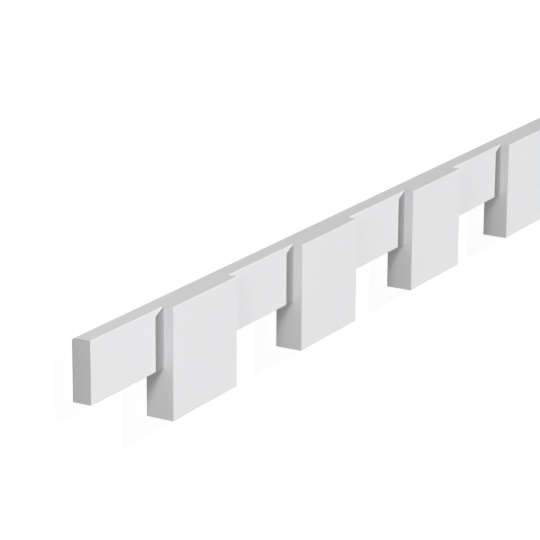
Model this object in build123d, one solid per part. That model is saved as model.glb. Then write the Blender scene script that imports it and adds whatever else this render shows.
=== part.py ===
"""Dentil moulding: a thin straight rail with a row of square blocks that stand proud of it and hang below it.

The strip was moulded in one piece, so it is one solid. It lies on its flat back, the way a length is stored:
X runs along the length, Y points up the wall that it is made for and Z points out of that wall.
The origin is on the back, at the middle of the overall length and height. All sizes are in millimetres.
"""

import os

from build123d import *

# Rail
LENGTH = 2000.0  # the strip as it is sold
RAIL_HEIGHT = 25.0  # from the top edge to the bottom edge
RAIL_THICKNESS = 8.0  # from the back to the front

# Dentils
DENTIL_HEIGHT = 46.0  # from the top edge, where they are level with the rail
DENTIL_WIDTH = 48.0
DENTIL_THICKNESS = 12.0  # from the back, where they are level with the rail
DENTIL_SPACING = 100.0  # the centre distance aimed at: the strip holds a whole number of dentils
LEFT_STUB = 50.0  # plain rail before the first dentil

# Edges
ARRIS_RADIUS = 0.3  # the front's edges and the dentils' lower corners, softened by the primer
BACK_RADIUS = 1.2  # the back's top edge

TOP = DENTIL_HEIGHT / 2
LEFT_END = -LENGTH / 2
RIGHT_END = LENGTH / 2


def bar(height, thickness, length):
    """A bar along X from X 0, hung from the top edge, with the back's top edge eased."""
    with BuildSketch(Plane.YZ) as section:
        # The sketch's own X is the model's Y, and its own Y is the model's Z
        with Locations((TOP, 0)):
            Rectangle(height, thickness, align=(Align.MAX, Align.MIN))
        top_corners = section.vertices().group_by(Axis.X)[-1]
        fillet(top_corners.sort_by(Axis.Y)[0], BACK_RADIUS)
    return extrude(section.sketch, length)


def rail():
    """The strip behind and between the dentils. Its ends are sawn square, so only its long arrises are eased."""
    strip = bar(RAIL_HEIGHT, RAIL_THICKNESS, LENGTH)
    arrises = strip.edges().filter_by(Axis.X).group_by(Axis.Z)[-1]
    return Pos(LEFT_END, 0, 0) * fillet(arrises, ARRIS_RADIUS)


def dentil():
    """One dentil from X 0, with the arrises of its face and of its two lower corners eased."""
    block = bar(DENTIL_HEIGHT, DENTIL_THICKNESS, DENTIL_WIDTH)
    face_arrises = block.faces().sort_by(Axis.Z)[-1].edges()
    lower_arrises = block.edges().filter_by(Axis.Z).group_by(Axis.Y)[0]
    return fillet(face_arrises + lower_arrises, ARRIS_RADIUS)


def dentil_places():
    """X of each dentil's left side, spaced evenly from the left stub to the right end, which the last one ends."""
    first = LEFT_END + LEFT_STUB
    last = RIGHT_END - DENTIL_WIDTH
    steps = round((last - first) / DENTIL_SPACING)
    pitch = (last - first) / steps
    return [first + pitch * step for step in range(steps + 1)]


def dentil_moulding():
    """Rail and dentils, moulded as one solid."""
    block = dentil()
    return rail() + [Pos(x, 0, 0) * block for x in dentil_places()]


os.makedirs("parts", exist_ok=True)
export_step(dentil_moulding(), "parts/dentil_moulding.step")
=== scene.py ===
import math

import bmesh
import bpy
import numpy as np
from mathutils import Matrix, Vector


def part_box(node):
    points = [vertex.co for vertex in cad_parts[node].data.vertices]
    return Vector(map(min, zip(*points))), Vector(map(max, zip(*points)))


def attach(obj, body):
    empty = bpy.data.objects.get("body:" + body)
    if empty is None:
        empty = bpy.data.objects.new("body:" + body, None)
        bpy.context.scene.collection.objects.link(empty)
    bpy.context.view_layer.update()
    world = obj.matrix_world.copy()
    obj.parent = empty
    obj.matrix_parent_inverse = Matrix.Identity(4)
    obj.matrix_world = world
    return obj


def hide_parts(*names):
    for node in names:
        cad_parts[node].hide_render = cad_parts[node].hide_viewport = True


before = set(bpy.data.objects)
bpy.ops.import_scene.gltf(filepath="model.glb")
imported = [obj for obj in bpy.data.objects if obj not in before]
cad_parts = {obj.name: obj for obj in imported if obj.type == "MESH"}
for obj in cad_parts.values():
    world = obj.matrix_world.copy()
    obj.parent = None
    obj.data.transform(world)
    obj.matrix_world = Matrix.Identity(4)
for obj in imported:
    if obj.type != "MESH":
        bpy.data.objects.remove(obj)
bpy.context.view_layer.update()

bl_info = {
    "name": "Dentil moulding",
    "version": (1, 0, 0),
    "blender": (4, 5, 0),
    "location": "3D View > Sidebar > Moulding",
    "description": "A white primed dentil strip, lying on its back on a pale studio floor",
    "category": "Object",
}

# The strip lies on its back: X runs along it, Y up the wall that it is made for and Z out of that wall.
NODE = "dentil_moulding"
STRIP_LOW, STRIP_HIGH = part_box(NODE)
MM = 0.001  # sizes below are written in millimetres times this, because Blender works in metres

ARC_STEPS = 6  # facets in each rounded edge
ARC_TURN = np.linspace(0.0, math.pi / 2, ARC_STEPS + 1)  # how far round its quarter circle each point is
MERGE_WITHIN = 0.001 * MM  # points nearer to each other than this are made one

SKIN = 0.01 * MM  # a point this close to a sawn end or to the back is on bare foam
PORE_FLOOR = 0.10  # a pore is deepest out to this share of the pores' spacing
PORE_RIM = 0.28  # and ends at this share of it
MARK_RUN = 60.0  # how many times longer than wide the marks of the saw and the plane are

# Ways from the first block towards the lamps
KEY_WAY = Vector((0.779, 0.364, 0.511))  # its hard shadow falls on the rail to the left of each block
FILL_WAY = Vector((-0.85, -0.25, 0.46))  # it lights the left end and the blocks' left sides softly
FRONT_WAY = Vector((0.0, -0.35, 0.94))  # it lights the face of the strip, inside the shadows too
WINDOW_WAY = Vector((-0.89, 0.40, 0.22))  # the rail's shadow from it falls on each block's left side

# Places, as the distance from the strip's left end or, for AIM_DOWN, below its top edge
WINDOW_ALONG = 70 * MM  # the softbox shines on this point
AIM_ALONG = 123.8 * MM  # and the camera looks at this one
AIM_DOWN = 3.95 * MM

FLOOR_REACH = 12.0  # metres from the middle of the floor to each side
FLOOR_GAP = 0.1 * MM  # keeps the floor out of the strip's back
CLIP_NEAR = 0.01  # metres from the camera to the nearest thing that it sees
CLIP_FAR = 100.0  # and to the farthest


# Sizes and colours that a user would change

class MouldingSizes(bpy.types.PropertyGroup):
    """Sizes of the strip that its overall box doesn't give."""

    rail_height: bpy.props.FloatProperty(
        name="Rail height", description="From the top edge to the bottom edge of the rail",
        default=25 * MM, min=5 * MM, unit="LENGTH")
    rail_thickness: bpy.props.FloatProperty(
        name="Rail thickness", description="From the back to the face of the rail",
        default=8 * MM, min=2 * MM, unit="LENGTH")
    dentil_width: bpy.props.FloatProperty(
        name="Dentil width", description="Width of one block along the strip",
        default=48 * MM, min=5 * MM, unit="LENGTH")
    dentil_spacing: bpy.props.FloatProperty(
        name="Dentil spacing",
        description="Centre distance aimed at: the strip holds a whole number of blocks",
        default=100 * MM, min=10 * MM, unit="LENGTH")
    left_stub: bpy.props.FloatProperty(
        name="Left stub", description="Plain rail before the first block",
        default=50 * MM, min=0.0, unit="LENGTH")
    arris_radius: bpy.props.FloatProperty(
        name="Arris radius", description="Rounding of the outer edges of the front",
        default=0.3 * MM, min=0.05 * MM, unit="LENGTH")
    cove_radius: bpy.props.FloatProperty(
        name="Cove radius", description="Rounding of the inner corner where a block meets the rail",
        default=0.25 * MM, min=0.05 * MM, unit="LENGTH")
    back_radius: bpy.props.FloatProperty(
        name="Back radius", description="Rounding of the top edge of the back",
        default=1.2 * MM, min=0.05 * MM, unit="LENGTH")


class PrimerFinish(bpy.types.PropertyGroup):
    """The white primer, and the bare foam where the strip was sawn and on its planed back."""

    colour: bpy.props.FloatVectorProperty(
        name="Primer", description="Colour of the white primer",
        default=(0.80, 0.805, 0.815), min=0.0, max=1.0, subtype="COLOR")
    roughness: bpy.props.FloatProperty(
        name="Roughness", description="How matt the primer is",
        default=0.75, min=0.0, max=1.0, subtype="FACTOR")
    mottle: bpy.props.FloatProperty(
        name="Mottle", description="Share by which tone and gloss wander along the strip",
        default=0.02, min=0.0, max=0.2, subtype="FACTOR")
    mottle_size: bpy.props.FloatProperty(
        name="Mottle size", description="Width of one patch of the wandering tone",
        default=35 * MM, min=1 * MM, unit="LENGTH")
    grain_size: bpy.props.FloatProperty(
        name="Grain size", description="Width of one dimple of the sprayed primer",
        default=0.9 * MM, min=0.1 * MM, unit="LENGTH")
    grain_depth: bpy.props.FloatProperty(
        name="Grain depth", description="Depth of the dimples of the sprayed primer",
        default=0.02 * MM, min=0.0, precision=6, unit="LENGTH")
    foam_colour: bpy.props.FloatVectorProperty(
        name="Foam", description="Colour of the bare foam",
        default=(0.69, 0.69, 0.69), min=0.0, max=1.0, subtype="COLOR")
    foam_roughness: bpy.props.FloatProperty(
        name="Foam roughness", description="How matt the bare foam is",
        default=0.85, min=0.0, max=1.0, subtype="FACTOR")
    mark_spacing: bpy.props.FloatProperty(
        name="Mark spacing", description="Distance from one mark of the saw or plane to the next",
        default=0.7 * MM, min=0.1 * MM, unit="LENGTH")
    mark_depth: bpy.props.FloatProperty(
        name="Mark depth", description="Depth of the marks of the saw and the plane",
        default=0.08 * MM, min=0.0, precision=6, unit="LENGTH")
    pore_spacing: bpy.props.FloatProperty(
        name="Pore spacing", description="Distance from one pore of the foam to the next",
        default=0.8 * MM, min=0.1 * MM, unit="LENGTH")
    # Painted shade: inside each pore the foam's tone is darkened to this share, standing in for the shade
    # in the pore's hollow; the hollow itself is a bump
    pore_painted_shade: bpy.props.FloatProperty(
        name="Pore shade", description="Share of the foam's tone that is left inside a pore",
        default=0.86, min=0.0, max=1.0, subtype="FACTOR")
    # A band along the top and back edges of each sawn end is darker: rim_width is how far in it reaches,
    # and rim_shade is the share of the foam's tone left at the very edge
    rim_width: bpy.props.FloatProperty(
        name="Rim width",
        description="How far the saw has burnished a sawn end in from its top and back edges",
        default=0.8 * MM, min=0.1 * MM, unit="LENGTH")
    rim_shade: bpy.props.FloatProperty(
        name="Rim shade", description="Share of the foam's tone that is left at a burnished edge",
        default=0.8, min=0.0, max=1.0, subtype="FACTOR")


class StageLook(bpy.types.PropertyGroup):
    """Floor, lamps and camera."""

    backdrop: bpy.props.FloatVectorProperty(
        name="Floor", description="Colour of the floor to the light that bounces off it",
        default=(0.18, 0.18, 0.18), min=0.0, max=1.0, subtype="COLOR")
    floor_glow: bpy.props.FloatProperty(
        name="Floor glow", description="How much of the floor's white is there without any lamp",
        default=0.93, min=0.0, max=1.0, subtype="FACTOR")
    floor_shade: bpy.props.FloatProperty(
        name="Floor shade",
        description="How much of the lamps' light the floor shows, and so how dark its shadow is",
        default=0.16, min=0.0, max=1.0, subtype="FACTOR")
    key_power: bpy.props.FloatProperty(
        name="Key power", description="Strength of the lamp that casts the blocks' shadows",
        default=3.94, min=0.0)
    key_spread: bpy.props.FloatProperty(
        name="Key spread", description="Width of that lamp in the sky, and so how soft its shadows are",
        default=math.radians(2), min=0.0, subtype="ANGLE")
    fill_power: bpy.props.FloatProperty(
        name="Fill power", description="Strength of the soft light from the near end and from below",
        default=0.85, min=0.0)
    fill_spread: bpy.props.FloatProperty(
        name="Fill spread", description="Width of the fill in the sky",
        default=math.radians(70), min=0.0, subtype="ANGLE")
    front_power: bpy.props.FloatProperty(
        name="Front power",
        description="Strength of the weak light that falls straight on the face of the strip",
        default=0.24, min=0.0)
    front_spread: bpy.props.FloatProperty(
        name="Front spread", description="Width of that lamp in the sky",
        default=math.radians(30), min=0.0, subtype="ANGLE")
    window_power: bpy.props.FloatProperty(
        name="Window power", description="Watts of the small softbox that lights the blocks' left sides",
        default=4.0, min=0.0)
    window_width: bpy.props.FloatProperty(
        name="Window width", description="Width of that softbox",
        default=280 * MM, min=10 * MM, unit="LENGTH")
    window_height: bpy.props.FloatProperty(
        name="Window height", description="Height of that softbox",
        default=160 * MM, min=10 * MM, unit="LENGTH")
    window_distance: bpy.props.FloatProperty(
        name="Window distance", description="From that softbox to the point that it shines on",
        default=1100 * MM, min=100 * MM, unit="LENGTH")
    room_light: bpy.props.FloatProperty(
        name="Room light", description="Strength of the even light from all round",
        default=0.01, min=0.0)
    lens: bpy.props.FloatProperty(
        name="Lens", description="Focal length of the camera in millimetres on a 36 mm wide sensor",
        default=172.53, min=10.0)
    distance: bpy.props.FloatProperty(
        name="Camera distance", description="From the camera to the point that it looks at",
        default=1046.0 * MM, min=0.1, unit="LENGTH")
    bearing: bpy.props.FloatProperty(
        name="Camera bearing",
        description="Turn of the view from the strip's length, towards its bottom edge",
        default=math.radians(19.095), subtype="ANGLE")
    downward: bpy.props.FloatProperty(
        name="Camera tilt", description="Angle at which the camera looks down on the strip",
        default=math.radians(28.669), subtype="ANGLE")
    roll: bpy.props.FloatProperty(
        name="Camera roll",
        description="Turn about the line of sight that stands the strip up in the picture",
        default=math.radians(99.760), subtype="ANGLE")


# The strip's surface

def rounded_section(sizes, bottom, thickness, swell):
    """The strip's section at a run of stations, as a closed ring of points in Y and Z.

    Each point is a corner of the section, moved in by the arris radius, plus a radius times a direction.
    The radius is the arris radius plus the station's swell where the direction has a part that points down
    or out, and the arris radius alone where it points up, so the top edge and the back stay level. The ring
    runs up the back, round the back's eased corner, along the top, round the front's upper arris, down the
    front and round its lower arris. The back and the top each have one more point, beside the rail's bottom
    and its face, so that a block's side starts where the rail ends. bottom, thickness and swell hold one
    number for each station, and the result has the stations along its first axis.
    """
    top = STRIP_HIGH.y
    arris = sizes.arris_radius
    rail_bottom = top - sizes.rail_height - sizes.cove_radius
    radius = (arris + swell)[:, None]
    bottom = bottom[:, None]
    thickness = thickness[:, None]
    one = np.ones_like(bottom)

    underside = bottom + arris - radius
    back_y = top - sizes.back_radius * (1 - np.sin(ARC_TURN))
    back_z = sizes.back_radius * (1 - np.cos(ARC_TURN))
    upper_y = top - arris * (1 - np.cos(ARC_TURN))
    upper_z = thickness - arris + radius * np.sin(ARC_TURN)
    lower_y = bottom + arris - radius * np.sin(ARC_TURN)
    lower_z = thickness - arris + radius * np.cos(ARC_TURN)
    level_with_rail = np.maximum(underside, rail_bottom)
    face_of_rail = (sizes.rail_thickness - arris) * one

    y = np.hstack([underside, level_with_rail, back_y * one, top * one, upper_y * one, lower_y])
    z = np.hstack([0 * one, 0 * one, back_z * one, face_of_rail, upper_z, lower_z])
    return y, z


def ring_stretches():
    """Which stretches of the ring, from each point to the next, are rounded, and which move with the swell.

    The back, its eased corner and the top stay level. The two arrises, the front between them and the
    underside move.
    """
    arc = [True] * ARC_STEPS
    level = [False, False] + arc + [False, False]
    moving = arc + [False] + arc + [False]
    swells = np.repeat([False, True], [len(level), len(moving)])
    return np.array(level + moving), swells


def stations(sizes):
    """Where the section is taken along the strip: each station's X, whether it is a block's, and its swell.

    Beside a block the rail's section swells along a quarter circle of the cove radius. At the block's side
    it gives way to the block's section, which starts smaller by the arris radius and grows to its full size
    along a quarter circle of that radius. The other side of the block is the same step turned round. Every
    block has the same run of stations, moved along the strip by the spacing, and the last one is cut off by
    the right end.
    """
    cove, arris = sizes.cove_radius, sizes.arris_radius
    step_x = np.concatenate([cove * (np.sin(ARC_TURN) - 1), arris * (1 - np.cos(ARC_TURN))])
    step_swell = np.concatenate([cove * (1 - np.cos(ARC_TURN)), arris * (np.sin(ARC_TURN) - 1)])
    step_is_block = np.repeat([False, True], ARC_STEPS + 1)

    run_x = np.concatenate([step_x, sizes.dentil_width - step_x[::-1]])
    run_swell = np.concatenate([step_swell, step_swell[::-1]])
    run_is_block = np.concatenate([step_is_block, step_is_block[::-1]])

    first = STRIP_LOW.x + sizes.left_stub
    last = STRIP_HIGH.x - sizes.dentil_width
    count = round((last - first) / sizes.dentil_spacing) + 1
    starts = np.linspace(first, last, count)
    x = (starts[:, None] + run_x).ravel()
    swell = np.tile(run_swell, count)
    is_block = np.tile(run_is_block, count)

    kept = slice(0, -len(step_x))
    x = np.concatenate([[STRIP_LOW.x], x[kept], [STRIP_HIGH.x]])
    swell = np.concatenate([[0.0], swell[kept], [0.0]])
    is_block = np.concatenate([[False], is_block[kept], [True]])
    return x, is_block, swell


def strip_surface(sizes):
    """The section carried along the strip and closed at both ends: points, faces and which are rounded.

    Each face joins one stretch of the ring at a station to the same stretch at the next one.
    """
    x, is_block, swell = stations(sizes)
    top = STRIP_HIGH.y
    bottom = np.where(is_block, STRIP_LOW.y, top - sizes.rail_height)
    thickness = np.where(is_block, STRIP_HIGH.z, sizes.rail_thickness)
    y, z = rounded_section(sizes, bottom, thickness, swell)
    around = y.shape[1]
    points = np.stack([np.broadcast_to(x[:, None], y.shape), y, z], axis=-1).reshape(-1, 3)

    grid = np.arange(len(x) * around).reshape(len(x), around)
    ahead = np.roll(grid, -1, axis=1)
    quads = np.stack([grid[:-1], ahead[:-1], ahead[1:], grid[1:]], axis=-1).reshape(-1, 4)
    ring_is_rounded, ring_swells = ring_stretches()
    is_swelling = (swell[:-1] != swell[1:]) & (is_block[:-1] == is_block[1:])
    rounded = (is_swelling[:, None] & ring_swells | ring_is_rounded).ravel()
    ends = [grid[0, ::-1].tolist(), grid[-1].tolist()]
    return points, quads.tolist() + ends, np.append(rounded, [False, False])


def sharpen_flat_faces(mesh):
    """Marks every edge of a flat face as sharp, so that a rounded edge beside it keeps its own shading."""
    is_smooth = np.empty(len(mesh.polygons), bool)
    corners = np.empty(len(mesh.polygons), np.int32)
    edge_of_corner = np.empty(len(mesh.loops), np.int32)
    mesh.polygons.foreach_get("use_smooth", is_smooth)
    mesh.polygons.foreach_get("loop_total", corners)
    mesh.loops.foreach_get("edge_index", edge_of_corner)
    sharp = np.zeros(len(mesh.edges), bool)
    sharp[edge_of_corner[np.repeat(~is_smooth, corners)]] = True
    mesh.edges.foreach_set("use_edge_sharp", sharp)


def new_piece(name, points, faces, rounded):
    """A mesh object of closed, merged faces, smooth only where they are part of a rounded edge."""
    mesh = bpy.data.meshes.new(name)
    mesh.from_pydata(points.tolist(), [], faces)
    mesh.polygons.foreach_set("use_smooth", rounded)
    work = bmesh.new()
    work.from_mesh(mesh)
    bmesh.ops.remove_doubles(work, verts=work.verts, dist=MERGE_WITHIN)
    work.to_mesh(mesh)
    work.free()
    sharpen_flat_faces(mesh)
    piece = bpy.data.objects.new(name, mesh)
    bpy.context.scene.collection.objects.link(piece)
    return piece


# Materials

def add_node(tree, kind, **sockets):
    """A node of a material's tree, with some of its inputs set or linked by name."""
    node = tree.nodes.new(kind)
    for name, value in sockets.items():
        set_socket(tree, node.inputs[name.replace("_", " ").title()], value)
    return node


def set_socket(tree, socket, value):
    """Links an input to another node's output, or sets it to a plain value."""
    if isinstance(value, bpy.types.NodeSocket):
        tree.links.new(value, socket)
    else:
        socket.default_value = value


def calculated(tree, operation, *values):
    """The result of one sum on sockets or numbers."""
    node = tree.nodes.new("ShaderNodeMath")
    node.operation = operation
    for socket, value in zip(node.inputs, values):
        set_socket(tree, socket, value)
    return node.outputs["Value"]


def mixed(tree, share, first, second, kind="FLOAT"):
    """A number or, with the kind RGBA, a colour between two others, by a share from 0 to 1."""
    node = tree.nodes.new("ShaderNodeMix")
    node.data_type = kind
    for name, value in (("Factor", share), ("A", first), ("B", second)):
        set_socket(tree, node.inputs[name], value)
    return node.outputs["Result"]


def brightened(tree, colour, factor):
    """A colour times a factor."""
    node = tree.nodes.new("ShaderNodeVectorMath")
    node.operation = "SCALE"
    set_socket(tree, node.inputs["Vector"], colour)
    set_socket(tree, node.inputs["Scale"], factor)
    return node.outputs["Vector"]


def speckle(tree, place, size, detail):
    """Even noise from 0 to 1, whose patches are about as wide as the size."""
    noise = add_node(tree, "ShaderNodeTexNoise", vector=place, scale=1 / size, detail=detail)
    return noise.outputs["Fac"]


def on_sawn_end(tree, axes):
    """1 on the two sawn ends, and 0 elsewhere."""
    from_middle = calculated(tree, "ABSOLUTE", axes["X"])
    return calculated(tree, "GREATER_THAN", from_middle, STRIP_HIGH.x - SKIN)


def on_back(tree, axes):
    """1 on the flat back, and 0 elsewhere."""
    return calculated(tree, "LESS_THAN", axes["Z"], STRIP_LOW.z + SKIN)


def near_rim(tree, axes, width):
    """1 at the top and at the back, falling evenly to 0 at the width from them."""
    top, back = STRIP_HIGH.y, STRIP_LOW.z
    near_top = add_node(tree, "ShaderNodeMapRange", value=axes["Y"], from_min=top - width, from_max=top)
    near_back = add_node(tree, "ShaderNodeMapRange", value=axes["Z"], from_min=back + width, from_max=back)
    return calculated(tree, "MAXIMUM", near_top.outputs["Result"], near_back.outputs["Result"])


def tool_marks(tree, place, spacing):
    """Noise drawn out along the strip and through it, so that fine marks lie side by side up the strip."""
    stretched = add_node(tree, "ShaderNodeMapping", vector=place, scale=(1 / MARK_RUN, 1.0, 1 / MARK_RUN))
    return speckle(tree, stretched.outputs["Vector"], spacing, detail=3.0)


def foam_pores(tree, place, spacing):
    """0 in the middle of each small round pore of the foam, and 1 between the pores."""
    cells = add_node(tree, "ShaderNodeTexVoronoi", vector=place, scale=1 / spacing)
    depth = add_node(tree, "ShaderNodeMapRange", value=cells.outputs["Distance"],
                     from_min=PORE_FLOOR, from_max=PORE_RIM)
    return depth.outputs["Result"]


def fine_relief(tree, place, bare, pores, finish):
    """The surface's normal, with dimples where it is primed, and pores and tool marks where it is bare."""
    primed = calculated(tree, "SUBTRACT", 1.0, bare)
    grain = speckle(tree, place, finish.grain_size, detail=1.0)
    dimples = add_node(tree, "ShaderNodeBump", strength=primed, distance=finish.grain_depth, height=grain)
    marks = tool_marks(tree, place, finish.mark_spacing)
    marred = add_node(tree, "ShaderNodeBump", strength=bare, distance=finish.mark_depth,
                      height=calculated(tree, "ADD", marks, pores), normal=dimples.outputs["Normal"])
    return marred.outputs["Normal"]


def primer_material(finish):
    """White primer whose tone wanders slowly, and bare foam with pores on the back and the sawn ends."""
    material = bpy.data.materials.new("white_primer")
    material.use_nodes = True
    tree = material.node_tree
    shader = tree.nodes["Principled BSDF"]
    place = tree.nodes.new("ShaderNodeTexCoord").outputs["Object"]
    axes = add_node(tree, "ShaderNodeSeparateXYZ", vector=place).outputs
    sawn = on_sawn_end(tree, axes)
    bare = calculated(tree, "MAXIMUM", sawn, on_back(tree, axes))

    wander = speckle(tree, place, finish.mottle_size, detail=2.0)
    tone = mixed(tree, wander, 1 - finish.mottle, 1 + finish.mottle)
    pores = foam_pores(tree, place, finish.pore_spacing)
    # darker band along the top and back edges of each sawn end
    rim = calculated(tree, "MULTIPLY", sawn, near_rim(tree, axes, finish.rim_width))
    # painted shade inside each pore of the bare foam
    foam_tone = mixed(tree, rim, mixed(tree, pores, finish.pore_painted_shade, tone), finish.rim_shade)

    colour = mixed(tree, bare, (*finish.colour, 1.0), (*finish.foam_colour, 1.0), kind="RGBA")
    roughness = mixed(tree, bare, finish.roughness, finish.foam_roughness)
    shade = mixed(tree, bare, tone, foam_tone)
    set_socket(tree, shader.inputs["Base Color"], brightened(tree, colour, shade))
    set_socket(tree, shader.inputs["Roughness"], calculated(tree, "MULTIPLY", roughness, tone))
    set_socket(tree, shader.inputs["Normal"], fine_relief(tree, place, bare, pores, finish))
    return material


# Operators

class MOULDING_OT_strip(bpy.types.Operator):
    """Build the strip's surface and give it its primer"""

    bl_idname = "moulding.strip"
    bl_label = "Build the strip"

    def execute(self, context):
        scene = context.scene
        points, faces, rounded = strip_surface(scene.moulding_sizes)
        strip = new_piece("dentil_strip", points, faces, rounded)
        strip.data.materials.append(primer_material(scene.moulding_finish))
        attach(strip, "root")
        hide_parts(NODE)
        return {"FINISHED"}


def add_lamp(name, kind, way, power):
    """A lamp that shines back along a way, which points from the strip towards it."""
    lamp = bpy.data.lights.new(name, kind)
    lamp.energy = power
    body = bpy.data.objects.new(name, lamp)
    body.rotation_euler = way.to_track_quat("Z", "Y").to_euler()
    bpy.context.scene.collection.objects.link(body)
    return body


def add_lamps(look):
    """Three lamps far off, the same all along the strip, and a small softbox near its left end."""
    far_off = (
        ("key", KEY_WAY, look.key_power, look.key_spread),
        ("fill", FILL_WAY, look.fill_power, look.fill_spread),
        ("front", FRONT_WAY, look.front_power, look.front_spread),
    )
    for name, way, power, spread in far_off:
        lamp = add_lamp(name, "SUN", way, power)
        lamp.data.angle = spread

    window = add_lamp("window", "AREA", WINDOW_WAY, look.window_power)
    window.data.shape = "RECTANGLE"
    window.data.size = look.window_width
    window.data.size_y = look.window_height
    lit_point = Vector((STRIP_LOW.x + WINDOW_ALONG, 0.0, STRIP_HIGH.z / 2))
    window.location = lit_point + WINDOW_WAY.normalized() * look.window_distance


def seen_directly(tree):
    """1 where the camera, a reflection or a view through glass looks straight at the floor or the world."""
    path = tree.nodes.new("ShaderNodeLightPath").outputs
    mirrored = calculated(tree, "MAXIMUM", path["Is Glossy Ray"], path["Is Transmission Ray"])
    return calculated(tree, "MAXIMUM", path["Is Camera Ray"], mirrored)


def set_surface(tree, output_kind, hidden, shown):
    """What light finds and what is seen directly, joined and led to the tree's output."""
    mix = tree.nodes.new("ShaderNodeMixShader")
    for socket, value in zip(mix.inputs, (seen_directly(tree), hidden, shown)):
        set_socket(tree, socket, value)
    output = tree.nodes.new(output_kind)
    set_socket(tree, output.inputs["Surface"], mix.outputs["Shader"])


def add_floor(look):
    """A wide flat floor, white to the eye, that keeps the strip's shadow."""
    mesh = bpy.data.meshes.new("floor")
    level = STRIP_LOW.z - FLOOR_GAP
    signs = [(-1, -1), (1, -1), (1, 1), (-1, 1)]
    corners = [(x * FLOOR_REACH, y * FLOOR_REACH, level) for x, y in signs]
    mesh.from_pydata(corners, [], [(0, 1, 2, 3)])
    floor = bpy.data.objects.new("floor", mesh)
    bpy.context.scene.collection.objects.link(floor)

    material = bpy.data.materials.new("floor")
    material.use_nodes = True
    tree = material.node_tree
    tree.nodes.clear()
    lit = add_node(tree, "ShaderNodeBsdfDiffuse", color=(*look.backdrop, 1.0))
    glow = add_node(tree, "ShaderNodeEmission", strength=look.floor_glow)
    shade = look.floor_shade
    shadowed = add_node(tree, "ShaderNodeBsdfDiffuse", color=(shade, shade, shade, 1.0))
    white = tree.nodes.new("ShaderNodeAddShader")
    set_socket(tree, white.inputs[0], glow.outputs["Emission"])
    set_socket(tree, white.inputs[1], shadowed.outputs["BSDF"])
    set_surface(tree, "ShaderNodeOutputMaterial", lit.outputs["BSDF"], white.outputs["Shader"])
    mesh.materials.append(material)


def set_world(look):
    """Even room light, and plain white where the world itself is seen."""
    world = bpy.data.worlds.new("room")
    world.use_nodes = True
    bpy.context.scene.world = world
    tree = world.node_tree
    tree.nodes.clear()
    plain_white = (1.0, 1.0, 1.0, 1.0)
    dim = add_node(tree, "ShaderNodeBackground", color=plain_white, strength=look.room_light)
    white = add_node(tree, "ShaderNodeBackground", color=plain_white, strength=1.0)
    set_surface(tree, "ShaderNodeOutputWorld", dim.outputs["Background"], white.outputs["Background"])


def add_camera(look):
    """The camera looks along the strip and down on it, and is rolled to stand it up in the picture."""
    target = Vector((STRIP_LOW.x + AIM_ALONG, STRIP_HIGH.y - AIM_DOWN, STRIP_HIGH.z))
    flat = Vector((math.cos(look.bearing), -math.sin(look.bearing), 0.0))
    sight = flat * math.cos(look.downward) - Vector((0.0, 0.0, math.sin(look.downward)))
    level = sight.cross(Vector((0.0, 0.0, 1.0))).normalized()
    raised = level.cross(sight)
    right = level * math.cos(look.roll) + raised * math.sin(look.roll)
    up = raised * math.cos(look.roll) - level * math.sin(look.roll)
    data = bpy.data.cameras.new("camera")
    data.lens = look.lens
    data.clip_start = CLIP_NEAR
    data.clip_end = CLIP_FAR
    camera = bpy.data.objects.new("camera", data)
    place = target - sight * look.distance
    turned = Matrix((right, up, -sight)).transposed().to_4x4()
    camera.matrix_world = Matrix.Translation(place) @ turned
    bpy.context.scene.collection.objects.link(camera)
    bpy.context.scene.camera = camera


class MOULDING_OT_stage(bpy.types.Operator):
    """Lay the floor, light it and set the camera"""

    bl_idname = "moulding.stage"
    bl_label = "Set the stage"

    def execute(self, context):
        look = context.scene.moulding_stage
        add_floor(look)
        set_world(look)
        add_lamps(look)
        add_camera(look)
        context.scene.view_settings.view_transform = "Standard"
        return {"FINISHED"}


class MOULDING_PT_panel(bpy.types.Panel):
    """Sizes, finish and stage of the strip"""

    bl_idname = "MOULDING_PT_panel"
    bl_label = "Dentil moulding"
    bl_space_type = "VIEW_3D"
    bl_region_type = "UI"
    bl_category = "Moulding"

    def draw(self, context):
        layout = self.layout
        scene = context.scene
        for group in (scene.moulding_sizes, scene.moulding_finish, scene.moulding_stage):
            box = layout.box()
            for name in group.__annotations__:
                box.prop(group, name)
        layout.operator(MOULDING_OT_strip.bl_idname)
        layout.operator(MOULDING_OT_stage.bl_idname)


CLASSES = (MouldingSizes, PrimerFinish, StageLook, MOULDING_OT_strip, MOULDING_OT_stage, MOULDING_PT_panel)
GROUPS = {"moulding_sizes": MouldingSizes, "moulding_finish": PrimerFinish, "moulding_stage": StageLook}


def register():
    for each in CLASSES:
        bpy.utils.register_class(each)
    for name, group in GROUPS.items():
        setattr(bpy.types.Scene, name, bpy.props.PointerProperty(type=group))


def unregister():
    for name in GROUPS:
        delattr(bpy.types.Scene, name)
    for each in reversed(CLASSES):
        bpy.utils.unregister_class(each)


def main():
    register()
    bpy.ops.moulding.strip()
    bpy.ops.moulding.stage()


if __name__ == "__main__":
    main()
